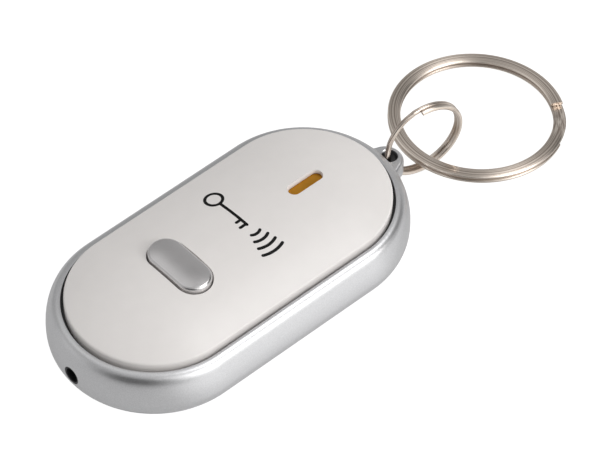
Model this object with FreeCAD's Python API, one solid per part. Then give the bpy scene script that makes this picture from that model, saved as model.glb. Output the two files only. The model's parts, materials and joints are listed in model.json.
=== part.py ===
import FreeCAD, Part
import math
import os

# Key-finder fob: a stadium-shaped two-part case with a domed top cover, a push button, a torch port
# at the nose, a sound slot, and a lug that carries a small split ring and a large key ring.
# Frame: origin at the centre of the flat back, +X towards the lug, +Z towards the domed cover.
# All sizes are in millimetres.

V = FreeCAD.Vector
X = V(1, 0, 0)
Y = V(0, 1, 0)
Z = V(0, 0, 1)
ORIGIN = V(0, 0, 0)

# --- shared allowances: cutters past a face, joined pieces into each other, and comparing heights ---
OVER = 1.0
SINK = 0.3
TOL = 0.01

# --- case outline: a segment of half-length CASE_C, offset by a radius that changes with height ---
CASE_C = 14.9
FLAT_R = 10.7
BELT_R = 16.2
BELT_Z = 4.9
RIM_R = 14.0
RIM_Z = 9.8
SUPER_N = 2.3
PARTING_Z = 2.5
PARTING_GROOVE = 0.12
WALL_STEPS = 10

# --- silver frame, inside ---
FRAME_IN_R = 14.4
FRAME_SLOPE_Z = 6.2
LEDGE_R = 12.6
LEDGE_LOW_Z = 8.0
LEDGE_Z = 8.9
RIM_IN_R = 13.9

# --- lug ---
LUG_LOW_Z = 3.4
LUG_TOP_Z = 6.5
LUG_TIP_R = 2.9
LUG_TIP_X = 31.7
LUG_ROOT_X = 28.6
LUG_ROOT_HALF = 4.6
LUG_EDGE_R = 0.6
LUG_HOLE_X = 32.67
LUG_HOLE_R = 1.1
LUG_HOLE_CHAMFER = 0.3
LUG_LEAN_DEG = 75

# --- torch port ---
TORCH_Z = 5.15
PORT_R = 1.5
SLEEVE_FRONT_R = 1.47
SLEEVE_BORE_R = 1.2
SLEEVE_REAR_R = 1.95
SLEEVE_REAR_X = -24.9
SLEEVE_SET_BACK = 0.15
SLEEVE_WALL_GAP = 0.02
SLEEVE_REAR_GAP = 0.05
LED_R = 1.5
LED_TIP_X = -28.9
LED_TIP_GAP = 0.35
LED_BACK_X = -24.4
LED_FLANGE_R = 1.9
LED_FLANGE_T = 0.5
LED_LEAD_R = 0.25
LED_LEAD_Y = 1.27
LED_LEAD_X = -16.0
LED_LEAD_RISE = 0.6

# --- back cover ---
FLOOR_T = 1.4
BACK_IN_R = 13.5
FLOOR_COVE = 1.0
SPIGOT_R = 14.35
SPIGOT_TOP_Z = 3.5
PILLAR_SPOTS = [(-20.5, 6.0), (-20.5, -6.0), (23.5, 0.0)]
PILLAR_R = 2.2
PILLAR_LOW_Z = 2.6
PILLAR_TOP_Z = 11.3
BOSS_R = 2.7

# --- battery bay and door ---
CELL_R = 5.8
CELL_H = 3.05
CELL_X = 6.1
CAN_H = 2.75
CAN_FLOOR = 0.45
CAN_FILLET = 0.3
CAP_R = 4.75
CAP_FILLET = 0.2
GASKET_R = 5.1
GASKET_H = 2.8
BAY_R = 5.95
BAY_WALL = 1.0
BAY_TOP_Z = 4.6
SEAT_R = 8.6
SEAT_TOP_Z = 1.9
DOOR_R = 7.5
DOOR_T = 1.1
DOOR_GAP = 0.08
DOOR_NEAR_X = -6.1
DOOR_FAR_X = 11.6
DOOR_SCREW_X = 15.6
DOOR_BOSS_R = 2.6
DOOR_BOSS_TOP_Z = 1.9
DOOR_CHAMFER = 0.15
TOWER_R = 3.7
TOWER_TOP_Z = 5.5
BRIDGE_T = 0.2
BRIDGE_W = 4.0
BRIDGE_REACH = 8.1
CELL_Z = DOOR_T + BRIDGE_T
CONTACT_T = 0.2
CONTACT_W = 3.0
CONTACT_KNEE = 0.35
CONTACT_PAD = 0.5
CONTACT_RUN = 3.0
CONTACT_TIP = 3.6
CONTACT_TOE = 2.4
CONTACT_HEEL = 1.7

# --- screws ---
SCREW_R = 0.8
SCREW_HOLE_R = 0.83
SCREW_CLEAR_R = 0.95
HEAD_R = 1.6
HEAD_T = 0.85
HEAD_HOLE_R = 1.72
HEAD_SINK = 0.15
CROSS_W = 0.45
CROSS_L = 1.9
CROSS_DEPTH = 0.5
CASE_SCREW_TIP_Z = 7.0
DOOR_SCREW_TIP_Z = 4.8
SCREW_TIP_R = 0.25
HEAD_FILLET = 0.25
PILOT_EXTRA = 0.3

# --- top cover ---
COVER_R = 13.4
COVER_EDGE_Z = 10.9
CROWN_Z = 13.5
COVER_WALL = 1.25
COVER_IN_R = 12.2
COVER_EDGE_FILLET = 0.4
SPIGOT2_R = 12.55
SPIGOT2_IN_R = 11.7
SPIGOT2_LOW_Z = 7.9
PAD_Z = 11.3
PAD_MARGIN = 2.0
SPIGOT2_ROOT = 0.6
DOME_STEPS = 8

# --- sound slot and sounder ---
SLOT_X = 15.1
SLOT_BEVEL = 0.2
SLOT_LEN = 6.3
SLOT_W = 1.9
POCKET_R = 6.25
POCKET_Z = CROWN_Z - 0.8
GLUE_T = 0.1
GLUE_IN_R = 5.0
DISC_R = 6.0
DISC_T = 0.2
CERAMIC_R = 4.5
CERAMIC_T = 0.2
SOUNDER_WALL = 1.0
SOUNDER_Z = POCKET_Z - GLUE_T - DISC_T
WIRE_R = 0.35
RED_WIRE = [(15.5, 2.0, SOUNDER_Z - CERAMIC_T), (16.1, 3.2, 10.3), (16.2, 5.4, 9.0), (16.0, 5.8, 6.8)]
BLACK_WIRE = [(15.5, -5.2, SOUNDER_Z), (16.0, -5.3, 10.9), (16.3, -5.2, 9.0), (16.0, -5.0, 6.8)]

# --- push button ---
BUTTON_X = -9.85
BUTTON_R = 2.8
BUTTON_C = 3.05
BUTTON_TOP_Z = CROWN_Z + 0.75
BUTTON_EDGE_Z = BUTTON_TOP_Z - 0.3
BUTTON_EDGE_FILLET = 0.5
BUTTON_GAP = 0.1
BUTTON_WALL = 0.9
BUTTON_ROOF_Z = 12.6
BUTTON_FLANGE_GROW = 0.9
BUTTON_FLANGE_LOW_Z = 10.8
BUTTON_FLANGE_TOP_Z = 11.25
BUTTON_POST_R = 1.6
OPENING_CHAMFER = 0.22
OPENING_CHAMFER_H = 0.88

# --- circuit board ---
BOARD_Z = 6.0
BOARD_T = 0.8
BOARD_TOP_Z = BOARD_Z + BOARD_T
BOARD_X0 = -17.8
BOARD_X1 = 18.0
BOARD_HALF_W = 10.5
BOARD_CORNER_R = 3.0
POST_SPOTS = [(-4.0, 8.4), (13.0, -8.4)]
POST_R = 1.9
BOARD_SCREW_TIP_Z = 10.2
BOARD_SCREW_HOLE_R = 0.95
LEAD_HOLE_R = 0.35

# --- parts on the board ---
RESISTOR_SPOTS = [(-14.8, -6.5), (-14.8, -4.3), (-11.5, 7.0), (-8.5, 7.0)]
CAPACITOR_SPOTS = [(12.5, 5.0), (12.5, 7.5), (-6.0, -7.5)]
CHIP_LONG = 1.6
CHIP_SHORT = 0.8
RESISTOR_H = 0.45
CAPACITOR_H = 0.8
RESIN_X = 4.5
RESIN_Y = 4.8
RESIN_R = 3.2
RESIN_H = 1.2
TRANSISTOR_X = -2.5
TRANSISTOR_Y = 1.5
TRANSISTOR_HALF = (1.45, 0.65)
TRANSISTOR_LOW = 0.1
TRANSISTOR_HIGH = 1.1
FOOT_SPOTS = [(-0.95, -1.0), (0.95, -1.0), (0.0, 1.0)]
FOOT_HALF = (0.2, 0.45)
FOOT_T = 0.25
COIL_X = 10.8
COIL_Y = -2.5
COIL_RIM_R = 2.2
COIL_CORE_R = 1.75
COIL_RIM_T = 0.6
COIL_H = 3.2
MIC_X = 0.5
MIC_Y = -6.2
MIC_R = 3.0
MIC_H = 2.6
MIC_FILLET = 0.3
FELT_R = 2.1
FELT_T = 0.25

# --- tact switch ---
SWITCH_HALF = 3.0
SWITCH_FLOOR_Z = 7.5
SWITCH_TOP_Z = 10.0
SWITCH_PLATE_T = 0.2
SWITCH_CAVITY_R = 2.6
STEM_R = 1.75
STEM_TOP_Z = 10.75
STEM_FLANGE_R = 2.4
STEM_FLANGE_T = 0.6
STEM_HOLE_R = 1.8
SNAP_R = 2.3
SNAP_H = 0.5
SNAP_T = 0.08
LEG_W = 0.7
LEG_T = 0.2
LEG_Y = 2.25
LEG_LOW_Z = 5.2
LEG_TOP_Z = 8.2
LEG_HOLE_R = 0.5
LEG_SOLDER = (0.4, 0.65, 0.6)
LEAD_SOLDER = (0.8, 0.35, 0.5)

# --- split rings: centre, normal, direction of the single-strand stretch ---
WIRE_SUPER_N = 3.0
SECTION_STEPS = 16
RAMP_STEPS = 12
SMALL_CENTRE = V(38.60, -1.14, 7.04)
SMALL_NORMAL = V(0.168, 0.986, 0.021)
SMALL_AIM = V(-0.968, 0.165, 0.25)
SMALL_R = 6.56
SMALL_WIRE_W = 0.8
SMALL_WIRE_T = 0.72
SMALL_GAP = 0.05
SMALL_RAMP = 139.0
LARGE_CENTRE = V(51.58, 0.03, 1.55)
LARGE_NORMAL = V(0.05, 0.025, 0.9984)
LARGE_AIM = V(0.68, -0.73, 0)
LARGE_R = 13.0
LARGE_WIRE_W = 2.0
LARGE_WIRE_T = 0.7
LARGE_GAP = 0.03
LARGE_RAMP = 36.0


def save(name, shape):
    """Write one node's shape as STEP."""
    shape.exportStep("parts/" + name + ".step")


def cyl(radius, z0, z1, x=0.0, y=0.0):
    """Upright cylinder between two heights."""
    return Part.makeCylinder(radius, z1 - z0, V(x, y, z0), Z)


def rod(radius, start, end):
    """Straight round rod between two points."""
    along = end.sub(start)
    return Part.makeCylinder(radius, along.Length, start, along)


def box(x0, x1, y0, y1, z0, z1):
    """Axis-aligned box between limits."""
    return Part.makeBox(x1 - x0, y1 - y0, z1 - z0, V(x0, y0, z0))


def fused(shapes):
    """Union of a list of shapes, with split faces merged."""
    return shapes[0].multiFuse(shapes[1:]).removeSplitter()


def pill_wire(radius, x0, y0, x1, y1, z):
    """Closed outline of constant distance around the segment from (x0, y0) to (x1, y1)."""
    along = V(x1 - x0, y1 - y0, 0)
    along.normalize()
    side = V(-along.y, along.x, 0).multiply(radius)
    reach = V(along).multiply(radius)
    a = V(x0, y0, z)
    b = V(x1, y1, z)
    edges = [
        Part.LineSegment(a.sub(side), b.sub(side)).toShape(),
        Part.Arc(b.sub(side), b.add(reach), b.add(side)).toShape(),
        Part.LineSegment(b.add(side), a.add(side)).toShape(),
        Part.Arc(a.add(side), a.sub(reach), a.sub(side)).toShape(),
    ]
    return Part.Wire(edges)


def pill(radius, x0, y0, x1, y1, z0, z1):
    """Upright prism with a pill outline."""
    return Part.Face(pill_wire(radius, x0, y0, x1, y1, z0)).extrude(V(0, 0, z1 - z0))


def case_wall(r_in, z_in, z_from, z_to):
    """Points between two heights on the superellipse from the belt to (r_in, z_in)."""

    def angle_at(z):
        reach = abs(z - BELT_Z) / abs(z_in - BELT_Z)
        return math.asin(min(1.0, reach ** (SUPER_N / 2)))

    first = angle_at(z_from)
    last = angle_at(z_to)
    points = []
    for step in range(WALL_STEPS + 1):
        angle = first + (last - first) * step / WALL_STEPS
        r = r_in + (BELT_R - r_in) * max(0.0, math.cos(angle)) ** (2 / SUPER_N)
        z = BELT_Z + (z_in - BELT_Z) * math.sin(angle) ** (2 / SUPER_N)
        points.append((r, z))
    return points


def groove_corner():
    """Inner corner of the small groove along the parting line."""
    r = case_wall(FLAT_R, 0.0, PARTING_Z, PARTING_Z)[0][0]
    return (r - PARTING_GROOVE, PARTING_Z)


def spline(points):
    """Smooth edge through (r, z) points in the YZ plane."""
    curve = Part.BSplineCurve()
    curve.interpolate([V(0, r, z) for r, z in points])
    return curve.toShape()


def line(a, b):
    """Straight edge between two (r, z) points in the YZ plane."""
    return Part.LineSegment(V(0, a[0], a[1]), V(0, b[0], b[1])).toShape()


def closed(curve_points, polygon):
    """Face bounded by a smooth curve and then by straight lines back to the curve's start."""
    corners = [curve_points[-1]] + polygon + [curve_points[0]]
    edges = [spline(curve_points)]
    edges += [line(a, b) for a, b in zip(corners, corners[1:])]
    return Part.Face(Part.Wire(edges))


def stadium(face):
    """Solid swept from an (r, z) face along the case's stadium outline."""
    mirrored = face.mirror(ORIGIN, Y)
    start = V(-CASE_C, 0, 0)
    run = V(2 * CASE_C, 0, 0)
    near = mirrored.translated(start).extrude(run)
    far = face.translated(start).extrude(run)
    right = face.translated(V(CASE_C, 0, 0)).revolve(V(CASE_C, 0, 0), Z, -180)
    left = face.translated(start).revolve(start, Z, 180)
    return fused([near, far, right, left])


def polygon_wire(points):
    """Closed outline with straight sides through (r, z) points in the YZ plane."""
    return Part.makePolygon([V(0, r, z) for r, z in points + points[:1]])


def stadium_polygon(points):
    """Stadium solid from a straight-sided (r, z) section."""
    return stadium(Part.Face(polygon_wire(points)))


def dome_z(r, drop=0.0):
    """Height of the cover's dome at distance r from the case's centre segment."""
    return COVER_EDGE_Z + (CROWN_Z - COVER_EDGE_Z) * (1 - (r / COVER_R) ** 2) - drop


def dome_points(r_end, drop):
    """Points along the dome from its crown outwards."""
    radii = [r_end * step / DOME_STEPS for step in range(DOME_STEPS + 1)]
    return [(r, dome_z(r, drop)) for r in radii]


def lug():
    """Rounded ear at the end of the case, with a hole across it."""
    tip = V(LUG_TIP_X, 0, LUG_LOW_Z)
    root = V(LUG_ROOT_X, 0, LUG_LOW_Z)
    height = V(0, 0, LUG_TOP_Z - LUG_LOW_Z)
    lean = math.radians(LUG_LEAN_DEG)
    touch = V(LUG_TIP_R * math.cos(lean), LUG_TIP_R * math.sin(lean), 0)
    upper = tip.add(touch)
    lower = V(upper.x, -upper.y, upper.z)
    root_up = root.add(V(0, LUG_ROOT_HALF, 0))
    root_down = root.add(V(0, -LUG_ROOT_HALF, 0))
    outline = Part.Wire([
        Part.LineSegment(root_down, lower).toShape(),
        Part.Arc(lower, tip.add(V(LUG_TIP_R, 0, 0)), upper).toShape(),
        Part.LineSegment(upper, root_up).toShape(),
        Part.LineSegment(root_up, root_down).toShape(),
    ])
    ear = Part.Face(outline).extrude(height)
    rims = [e for e in ear.Edges if flat_edge(e) and e.BoundBox.XMax > LUG_ROOT_X + OVER]
    return ear.makeFillet(LUG_EDGE_R, rims)


def flat_edge(edge):
    """True for an edge that lies in one horizontal plane."""
    return edge.BoundBox.ZLength < TOL


def level_edges(shape, z):
    """Edges of a shape that lie in the horizontal plane at height z."""
    return [e for e in shape.Edges if flat_edge(e) and abs(e.BoundBox.ZMax - z) < TOL]


def lug_hole():
    """Hole across the lug with flared mouths."""
    hole = cyl(LUG_HOLE_R, LUG_LOW_Z - OVER, LUG_TOP_Z + OVER, LUG_HOLE_X)
    wide = LUG_HOLE_R + LUG_HOLE_CHAMFER
    flare_z = LUG_TOP_Z - LUG_HOLE_CHAMFER
    top = Part.makeCone(LUG_HOLE_R, wide, LUG_HOLE_CHAMFER, V(LUG_HOLE_X, 0, flare_z), Z)
    low = Part.makeCone(wide, LUG_HOLE_R, LUG_HOLE_CHAMFER, V(LUG_HOLE_X, 0, LUG_LOW_Z), Z)
    return fused([hole, top, low])


def case_frame():
    """Silver middle shell with its inner ledge, lug and torch port."""
    lower = case_wall(FLAT_R, 0.0, PARTING_Z + PARTING_GROOVE, BELT_Z)
    upper = case_wall(RIM_R, RIM_Z, BELT_Z, RIM_Z)
    outer = lower + upper[1:]
    inner = [(RIM_IN_R, RIM_Z), (RIM_IN_R, LEDGE_Z), (LEDGE_R, LEDGE_Z), (LEDGE_R, LEDGE_LOW_Z)]
    inner += [(FRAME_IN_R, FRAME_SLOPE_Z), (FRAME_IN_R, PARTING_Z), groove_corner()]
    shell = stadium(closed(outer, inner))
    inside = stadium_polygon([(0, PARTING_Z), (FRAME_IN_R, PARTING_Z), (FRAME_IN_R, RIM_Z), (0, RIM_Z)])
    ear = lug().cut(inside)
    port = rod(PORT_R, V(-CASE_C - BELT_R - OVER, 0, TORCH_Z), V(-CASE_C - LEDGE_R, 0, TORCH_Z))
    return fused([shell, ear]).cut(lug_hole()).cut(port)


def screw_seat(x, y):
    """Counterbore and clearance hole for a screw driven from below."""
    bore = cyl(HEAD_HOLE_R, -OVER, HEAD_T + HEAD_SINK, x, y)
    return bore.fuse(cyl(SCREW_CLEAR_R, -OVER, PILLAR_LOW_Z + OVER, x, y))


def door_pill(radius, z0, z1):
    """Prism with the battery door's outline."""
    return pill(radius, DOOR_NEAR_X, 0, DOOR_FAR_X, 0, z0, z1)


def back_cover():
    """Silver back shell with spigot, screw bosses, battery bay and the tower for the door screw."""
    outer = case_wall(FLAT_R, 0.0, 0.0, PARTING_Z - PARTING_GROOVE)
    inner = [groove_corner(), (SPIGOT_R, PARTING_Z), (SPIGOT_R, SPIGOT_TOP_Z), (BACK_IN_R, SPIGOT_TOP_Z)]
    inner += [(BACK_IN_R, PARTING_Z), (BACK_IN_R - FLOOR_COVE, FLOOR_T), (0, FLOOR_T), (0, 0)]
    shell = stadium(closed(outer, inner))
    bay = pill(BAY_R + BAY_WALL, -CELL_X, 0, CELL_X, 0, FLOOR_T, BAY_TOP_Z)
    seat = pill(SEAT_R, DOOR_NEAR_X, 0, DOOR_FAR_X, 0, DOOR_T, SEAT_TOP_Z)
    tower = cyl(TOWER_R, DOOR_T, TOWER_TOP_Z, DOOR_SCREW_X)
    bosses = [cyl(BOSS_R, FLOOR_T - SINK, PILLAR_LOW_Z, x, y) for x, y in PILLAR_SPOTS]
    body = fused([shell, bay, seat, tower] + bosses)
    torch_front = V(-CASE_C - FRAME_IN_R, 0, TORCH_Z)
    cutters = [
        pill(BAY_R, -CELL_X, 0, CELL_X, 0, -OVER, BAY_TOP_Z + OVER),
        door_pill(DOOR_R + DOOR_GAP, -OVER, DOOR_T),
        cyl(DOOR_BOSS_R + DOOR_GAP, 0, DOOR_BOSS_TOP_Z + DOOR_GAP, DOOR_SCREW_X),
        cyl(SCREW_HOLE_R, 0, DOOR_SCREW_TIP_Z + PILOT_EXTRA, DOOR_SCREW_X),
        rod(SLEEVE_REAR_R + SLEEVE_REAR_GAP, torch_front, V(SLEEVE_REAR_X, 0, TORCH_Z)),
    ]
    cutters += [screw_seat(x, y) for x, y in PILLAR_SPOTS]
    for cutter in cutters:
        body = body.cut(cutter)
    return body


def screw(x, y, head_low_z, tip_z):
    """Cross-head screw driven upwards from below."""
    seat_z = head_low_z + HEAD_T
    head = cyl(HEAD_R, head_low_z, seat_z, x, y)
    head = head.makeFillet(HEAD_FILLET, level_edges(head, head_low_z))
    shank = cyl(SCREW_R, seat_z, tip_z - SCREW_R, x, y)
    tip = Part.makeCone(SCREW_R, SCREW_TIP_R, SCREW_R, V(x, y, tip_z - SCREW_R), Z)
    half = CROSS_L / 2
    wide = CROSS_W / 2
    deep = head_low_z + CROSS_DEPTH
    slot_x = box(x - half, x + half, y - wide, y + wide, head_low_z, deep)
    slot_y = box(x - wide, x + wide, y - half, y + half, head_low_z, deep)
    return fused([head, shank, tip]).cut(slot_x).cut(slot_y)


def screws(spots, head_low_z, tip_z):
    """Several like screws."""
    return Part.makeCompound([screw(x, y, head_low_z, tip_z) for x, y in spots])


def cover_outer():
    """Outer envelope of the domed cover, with a rounded edge over a straight side."""
    slope = math.atan(2 * (CROWN_Z - COVER_EDGE_Z) / COVER_R)
    turn = math.pi / 2 - slope
    reach = COVER_EDGE_FILLET * math.tan(turn / 2)
    edge_r = COVER_R - reach * math.cos(slope)
    side_z = dome_z(edge_r) - reach * math.sin(slope) - reach
    middle_r = COVER_R - COVER_EDGE_FILLET * (1 - math.cos(turn / 2))
    middle_z = side_z + COVER_EDGE_FILLET * math.sin(turn / 2)
    points = dome_points(edge_r, 0.0)
    ends = [V(0, edge_r, dome_z(edge_r)), V(0, COVER_R, side_z)]
    arc = Part.Arc(ends[0], V(0, middle_r, middle_z), ends[1]).toShape()
    corners = [(COVER_R, side_z), (COVER_R, LEDGE_Z), (0, LEDGE_Z), points[0]]
    edges = [spline(points), arc] + [line(a, b) for a, b in zip(corners, corners[1:])]
    return stadium(Part.Face(Part.Wire(edges)))


def cover_inner():
    """Hollow under the dome."""
    points = dome_points(COVER_IN_R, COVER_WALL)
    return stadium(closed(points, [(COVER_IN_R, LEDGE_Z), (0, LEDGE_Z)]))


def button_wire(grow, z):
    """Outline of the push button at one height, grown sideways."""
    return pill_wire(BUTTON_R + grow, BUTTON_X, -BUTTON_C, BUTTON_X, BUTTON_C, z)


def button_pill(grow, z0, z1):
    """Prism with the push button's outline, grown sideways."""
    return Part.Face(button_wire(grow, z0)).extrude(V(0, 0, z1 - z0))


def button_opening():
    """Opening for the push button, chamfered where it breaks the dome."""
    straight = button_pill(BUTTON_GAP, PAD_Z - OVER, CROWN_Z + OVER)
    narrow = button_wire(BUTTON_GAP, CROWN_Z - OPENING_CHAMFER_H)
    wide = button_wire(BUTTON_GAP + OPENING_CHAMFER, CROWN_Z)
    return straight.fuse(Part.makeLoft([narrow, wide], True, True))


def slot_wire(grow, z):
    """Outline of the sound slot at one height, grown sideways."""
    half = (SLOT_LEN - SLOT_W) / 2
    return pill_wire(SLOT_W / 2 + grow, SLOT_X - half, 0, SLOT_X + half, 0, z)


def sound_slot():
    """Slot through the cover with a bevelled mouth."""
    straight = Part.Face(slot_wire(0.0, POCKET_Z - OVER)).extrude(V(0, 0, CROWN_Z - POCKET_Z + 2 * OVER))
    narrow = slot_wire(0.0, CROWN_Z - 2 * SLOT_BEVEL)
    wide = slot_wire(SLOT_BEVEL, CROWN_Z)
    return straight.fuse(Part.makeLoft([narrow, wide], True, True))


def cover_spigot():
    """Wall under the cover that drops inside the frame's ledge."""
    root_z = LEDGE_Z + SPIGOT2_ROOT
    return stadium_polygon([(SPIGOT2_IN_R, SPIGOT2_LOW_Z), (SPIGOT2_R, SPIGOT2_LOW_Z), (SPIGOT2_R, LEDGE_Z),
                            (COVER_IN_R, root_z), (SPIGOT2_IN_R, root_z)])


def top_cover():
    """White domed cover with its button opening, sound slot, pillars and board posts."""
    outer = cover_outer()
    shell = outer.cut(cover_inner())
    pad = button_pill(PAD_MARGIN, PAD_Z, CROWN_Z).common(outer)
    wall = cyl(POCKET_R + SOUNDER_WALL, POCKET_Z - SOUNDER_WALL, POCKET_Z + SINK, SLOT_X).common(outer)
    pillars = [cyl(PILLAR_R, PILLAR_LOW_Z, PILLAR_TOP_Z, x, y) for x, y in PILLAR_SPOTS]
    posts = [cyl(POST_R, BOARD_TOP_Z, PILLAR_TOP_Z, x, y) for x, y in POST_SPOTS]
    body = fused([shell, cover_spigot(), pad, wall] + pillars + posts)
    cutters = [button_opening(), cyl(POCKET_R, SPIGOT2_LOW_Z, POCKET_Z, SLOT_X), sound_slot()]
    for x, y in PILLAR_SPOTS:
        cutters.append(cyl(SCREW_HOLE_R, PILLAR_LOW_Z - OVER, CASE_SCREW_TIP_Z + PILOT_EXTRA, x, y))
    for x, y in POST_SPOTS:
        cutters.append(cyl(SCREW_HOLE_R, BOARD_TOP_Z - OVER, BOARD_SCREW_TIP_Z + PILOT_EXTRA, x, y))
    for cutter in cutters:
        body = body.cut(cutter)
    return body


def button_cap():
    """Grey push button: convex top, hollow skirt with a retaining flange, and a central post."""
    block = button_pill(0.0, BUTTON_FLANGE_LOW_Z, BUTTON_TOP_Z)
    rise = BUTTON_TOP_Z - BUTTON_EDGE_Z
    ball_r = (BUTTON_R ** 2 + rise ** 2) / (2 * rise)
    centre_z = BUTTON_TOP_Z - ball_r
    crest = Part.makeCylinder(ball_r, 2 * BUTTON_C, V(BUTTON_X, -BUTTON_C, centre_z), Y)
    ends = [Part.makeSphere(ball_r, V(BUTTON_X, y, centre_z)) for y in (-BUTTON_C, BUTTON_C)]
    block = block.common(fused([crest] + ends))
    block = block.makeFillet(BUTTON_EDGE_FILLET, level_edges(block, BUTTON_EDGE_Z))
    hollow = button_pill(-BUTTON_WALL, BUTTON_FLANGE_LOW_Z - OVER, BUTTON_ROOF_Z)
    flange = button_pill(BUTTON_FLANGE_GROW, BUTTON_FLANGE_LOW_Z, BUTTON_FLANGE_TOP_Z)
    post = cyl(BUTTON_POST_R, STEM_TOP_Z, BUTTON_ROOF_Z + SINK, BUTTON_X)
    return fused([fused([block, flange]).cut(hollow), post])


def board_outline():
    """Rounded rectangle of the circuit board."""
    plate = box(BOARD_X0, BOARD_X1, -BOARD_HALF_W, BOARD_HALF_W, BOARD_Z, BOARD_TOP_Z)
    corners = [e for e in plate.Edges if e.BoundBox.ZLength > BOARD_T / 2]
    return plate.makeFillet(BOARD_CORNER_R, corners)


def leg_spots():
    """Positions of the tact switch's four legs."""
    reach = SWITCH_HALF + LEG_T / 2
    return [(BUTTON_X + sx * reach, sy * LEG_Y) for sx in (-1, 1) for sy in (-1, 1)]


def circuit_board():
    """Board with holes for screws, switch legs and torch leads."""
    plate = board_outline()
    for x, y in POST_SPOTS:
        plate = plate.cut(cyl(BOARD_SCREW_HOLE_R, 0, CROWN_Z, x, y))
    for x, y in leg_spots():
        plate = plate.cut(cyl(LEG_HOLE_R, 0, CROWN_Z, x, y))
    for y in (-LED_LEAD_Y, LED_LEAD_Y):
        plate = plate.cut(cyl(LEAD_HOLE_R, 0, CROWN_Z, LED_LEAD_X, y))
    return plate


def switch_leg(x, y):
    """One flat leg."""
    return box(x - LEG_T / 2, x + LEG_T / 2, y - LEG_W / 2, y + LEG_W / 2, LEG_LOW_Z, LEG_TOP_Z)


def switch_legs():
    """Four flat tinned legs."""
    return Part.makeCompound([switch_leg(x, y) for x, y in leg_spots()])


def switch_base():
    """Black switch housing with a round well."""
    x0 = BUTTON_X - SWITCH_HALF
    x1 = BUTTON_X + SWITCH_HALF
    body = box(x0, x1, -SWITCH_HALF, SWITCH_HALF, BOARD_TOP_Z, SWITCH_TOP_Z)
    return body.cut(cyl(SWITCH_CAVITY_R, SWITCH_FLOOR_Z, SWITCH_TOP_Z + OVER, BUTTON_X))


def switch_plate():
    """Steel plate that closes the switch housing."""
    x0 = BUTTON_X - SWITCH_HALF
    x1 = BUTTON_X + SWITCH_HALF
    plate = box(x0, x1, -SWITCH_HALF, SWITCH_HALF, SWITCH_TOP_Z, SWITCH_TOP_Z + SWITCH_PLATE_T)
    return plate.cut(cyl(STEM_HOLE_R, 0, CROWN_Z, BUTTON_X))


def switch_stem():
    """Plunger with a flange under the steel plate."""
    low = SWITCH_FLOOR_Z + SNAP_H
    flange = cyl(STEM_FLANGE_R, low, low + STEM_FLANGE_T, BUTTON_X)
    return fused([cyl(STEM_R, low, STEM_TOP_Z, BUTTON_X), flange])


def switch_dome():
    """Thin snap disc, domed upwards."""
    ball_r = (SNAP_R ** 2 + SNAP_H ** 2) / (2 * SNAP_H)
    centre = V(BUTTON_X, 0, SWITCH_FLOOR_Z + SNAP_H - ball_r)
    shell = Part.makeSphere(ball_r, centre).cut(Part.makeSphere(ball_r - SNAP_T, centre))
    return shell.common(cyl(SNAP_R, SWITCH_FLOOR_Z, SWITCH_TOP_Z, BUTTON_X))


def led_sleeve():
    """Black sleeve that lines the torch port and holds the lamp."""
    mouth_x = -CASE_C - BELT_R
    step_x = -CASE_C - FRAME_IN_R
    front = rod(SLEEVE_FRONT_R, V(mouth_x + SLEEVE_SET_BACK, 0, TORCH_Z), V(step_x + OVER, 0, TORCH_Z))
    rear = rod(SLEEVE_REAR_R, V(step_x, 0, TORCH_Z), V(SLEEVE_REAR_X, 0, TORCH_Z))
    wide = FRAME_IN_R - SLEEVE_WALL_GAP
    high = LEDGE_R - SLEEVE_WALL_GAP
    inside = stadium_polygon([(0, PARTING_Z), (wide, PARTING_Z), (wide, FRAME_SLOPE_Z),
                              (high, LEDGE_LOW_Z), (0, LEDGE_LOW_Z)])
    body = fused([front, rear.common(inside)])
    body = body.cut(rod(SLEEVE_BORE_R, V(mouth_x - OVER, 0, TORCH_Z), V(LED_TIP_X, 0, TORCH_Z)))
    seat_r = LED_R + SLEEVE_WALL_GAP
    return body.cut(rod(seat_r, V(LED_TIP_X - LED_TIP_GAP, 0, TORCH_Z), V(LED_BACK_X, 0, TORCH_Z)))


def led_lens():
    """Clear torch lamp with a round nose and a flange."""
    nose = Part.makeSphere(LED_R, V(LED_TIP_X + LED_R, 0, TORCH_Z))
    barrel = rod(LED_R, V(LED_TIP_X + LED_R, 0, TORCH_Z), V(LED_BACK_X, 0, TORCH_Z))
    flange = rod(LED_FLANGE_R, V(SLEEVE_REAR_X, 0, TORCH_Z), V(SLEEVE_REAR_X + LED_FLANGE_T, 0, TORCH_Z))
    return fused([nose, barrel, flange])


def led_leads():
    """Two wire leads that run back and turn up through the board."""
    leads = []
    for y in (-LED_LEAD_Y, LED_LEAD_Y):
        bend = V(LED_LEAD_X, y, TORCH_Z)
        run = rod(LED_LEAD_R, V(SLEEVE_REAR_X + LED_FLANGE_T, y, TORCH_Z), bend)
        rise = rod(LED_LEAD_R, bend, V(LED_LEAD_X, y, BOARD_TOP_Z + LED_LEAD_RISE))
        leads.append(fused([run, Part.makeSphere(LED_LEAD_R, bend), rise]))
    return Part.makeCompound(leads)


def cell_parts(x, can_up):
    """Can, gasket and cap of one button cell, can face up or down."""
    can = cyl(CELL_R, 0, CAN_H).cut(cyl(GASKET_R, CAN_FLOOR, CAN_H))
    can = can.makeFillet(CAN_FILLET, level_edges(can, 0))
    gasket = cyl(GASKET_R, CAN_FLOOR, GASKET_H).cut(cyl(CAP_R, CAN_FLOOR, GASKET_H))
    cap = cyl(CAP_R, CAN_FLOOR, CELL_H)
    cap = cap.makeFillet(CAP_FILLET, level_edges(cap, CELL_H))
    placed = []
    for piece in (can, gasket, cap):
        if can_up:
            piece = piece.mirror(ORIGIN, Z).translated(V(0, 0, CELL_H))
        placed.append(piece.translated(V(x, 0, CELL_Z)))
    return placed


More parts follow.
